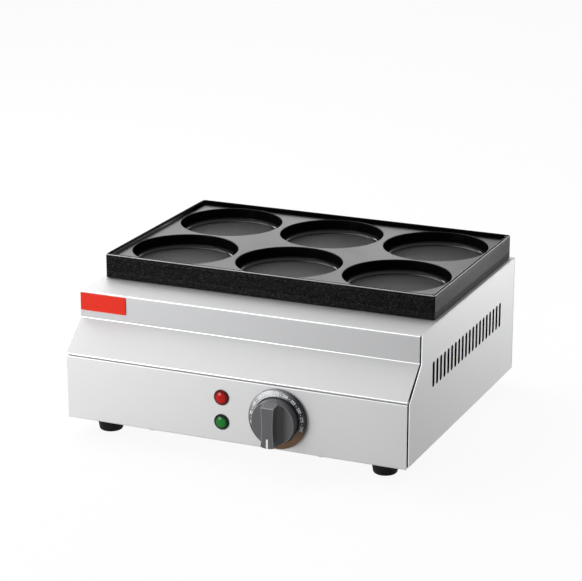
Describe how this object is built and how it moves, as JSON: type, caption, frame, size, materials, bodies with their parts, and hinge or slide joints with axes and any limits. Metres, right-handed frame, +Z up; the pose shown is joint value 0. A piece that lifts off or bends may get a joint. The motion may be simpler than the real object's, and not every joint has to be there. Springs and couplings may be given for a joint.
{
  "type": "egg burger maker",
  "caption": "Countertop griddle with round wells in a dark cast pan on a folded steel casing, with a thermostat knob and signal lamps.",
  "frame": {"origin": "middle of the footprint on the counter, at the bottom of the feet", "axes": "+X to the right seen from the control panel, +Y to the rear, +Z up"},
  "size_m": [0.33, 0.338, 0.152],
  "materials": {
    "casing_steel": "satin brushed",
    "base_steel": "mill",
    "fastener_steel": "zinc plated",
    "element_steel": "heat tinted",
    "pan_coating": "dark non-stick coat on cast aluminium",
    "badge_red": "gloss",
    "ring_metal": "satin",
    "knob_plastic": "fine grain",
    "pointer_white": "paint filled",
    "lens_red": "clear tinted",
    "lens_green": "clear tinted",
    "black_plastic": "moulded",
    "brown_plastic": "moulded",
    "ceramic": "steatite, taken with the density of plastic",
    "board": "fibre board",
    "brass": "bright",
    "copper": "drawn copper",
    "rubber": "matt",
    "wire_brown": "insulation",
    "wire_blue": "insulation",
    "wire_black": "insulation",
    "wire_green": "insulation",
    "wire_white": "insulation"
  },
  "bodies": {
    "cooker": {"top_cover": "casing_steel", "control_panel": "casing_steel", "left_side_panel": "casing_steel", "right_side_panel": "casing_steel", "rear_panel": "casing_steel", "base_plate": "base_steel", "heat_shield": "base_steel", "thermostat_plate": "base_steel", "bulb_clip": "base_steel", "casing_screws": "fastener_steel", "base_screws": "fastener_steel", "pan_screws": "fastener_steel", "clamp_studs": "fastener_steel", "clamp_nuts": "fastener_steel", "clip_screws": "fastener_steel", "thermostat_screws": "fastener_steel", "foot_screws": "fastener_steel", "foot_washers": "fastener_steel", "foot_nuts": "fastener_steel", "front_heating_element": "element_steel", "rear_heating_element": "element_steel", "left_clamp_bar": "element_steel", "right_clamp_bar": "element_steel", "griddle_pan": "pan_coating", "name_badge": "badge_red", "dial_ring": "ring_metal", "red_lamp_lens": "lens_red", "green_lamp_lens": "lens_green", "lamp_bodies": "black_plastic", "lamp_nuts": "black_plastic", "gland_body": "black_plastic", "gland_cap": "black_plastic", "gland_locknut": "black_plastic", "thermostat_body": "brown_plastic", "element_insulators": "ceramic", "terminal_block": "ceramic", "insulation_board": "board", "element_pins": "brass", "element_link": "brass", "thermostat_blades": "brass", "lamp_blades": "brass", "terminal_screws": "brass", "earth_stud": "brass", "earth_nuts": "brass", "capillary_tube": "copper", "sensing_bulb": "copper", "gland_seal": "rubber", "front_left_foot": "rubber", "front_right_foot": "rubber", "rear_left_foot": "rubber", "rear_right_foot": "rubber", "live_lead": "wire_brown", "neutral_lead": "wire_blue", "switched_lead": "wire_black", "earth_lead": "wire_green", "lamp_leads": "wire_white"},
    "knob": {"control_knob": "knob_plastic", "knob_pointer": "pointer_white", "thermostat_shaft": "fastener_steel"}
  },
  "joints": [
    {"name": "knob_turn", "type": "hinge", "parent": "cooker", "child": "knob", "pos_m": [0.045, -0.144, 0.046], "axis": [0, 1, 0], "range_deg": [0, 280]}
  ]
}
